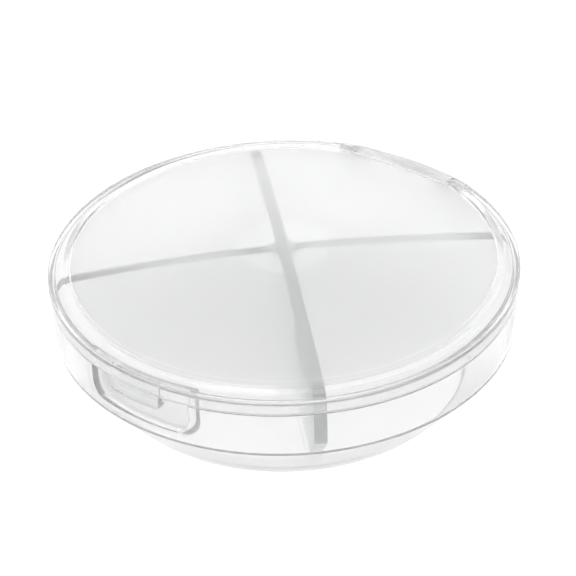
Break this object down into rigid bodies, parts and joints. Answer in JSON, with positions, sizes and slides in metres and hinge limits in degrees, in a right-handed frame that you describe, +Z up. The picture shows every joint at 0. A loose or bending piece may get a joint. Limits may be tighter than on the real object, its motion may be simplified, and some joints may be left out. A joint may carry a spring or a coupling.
{
  "type": "round pill case",
  "caption": "Round clear plastic pill case: tapered tray, hinged domed lid with thumb catch, and a drop-in cross divider that makes compartments.",
  "frame": {"origin": "middle of the flat underside, on the surface that the case stands on", "axes": "+Z up out of the lid, +Y towards the hinge, -Y towards the thumb notch and catch, +X to the right when the notch faces the user"},
  "size_m": [0.07, 0.07, 0.0212],
  "materials": {
    "tray_plastic": "clear moulded polystyrene, polished, fine handling scratches",
    "lid_plastic": "clear moulded polystyrene, polished, slightly hazy panel",
    "divider_plastic": "translucent frosted polystyrene, satin",
    "pin_steel": "drawn stainless wire"
  },
  "bodies": {
    "base": {"base_tray": "tray_plastic", "cross_divider": "divider_plastic", "hinge_pin_left": "pin_steel", "hinge_pin_right": "pin_steel"},
    "lid": {"lid": "lid_plastic"}
  },
  "joints": [
    {"name": "lid_hinge", "type": "hinge", "parent": "base", "child": "lid", "pos_m": [0, 0.0322, 0.0174], "axis": [-1, 0, 0], "range_deg": [0, 110]}
  ]
}
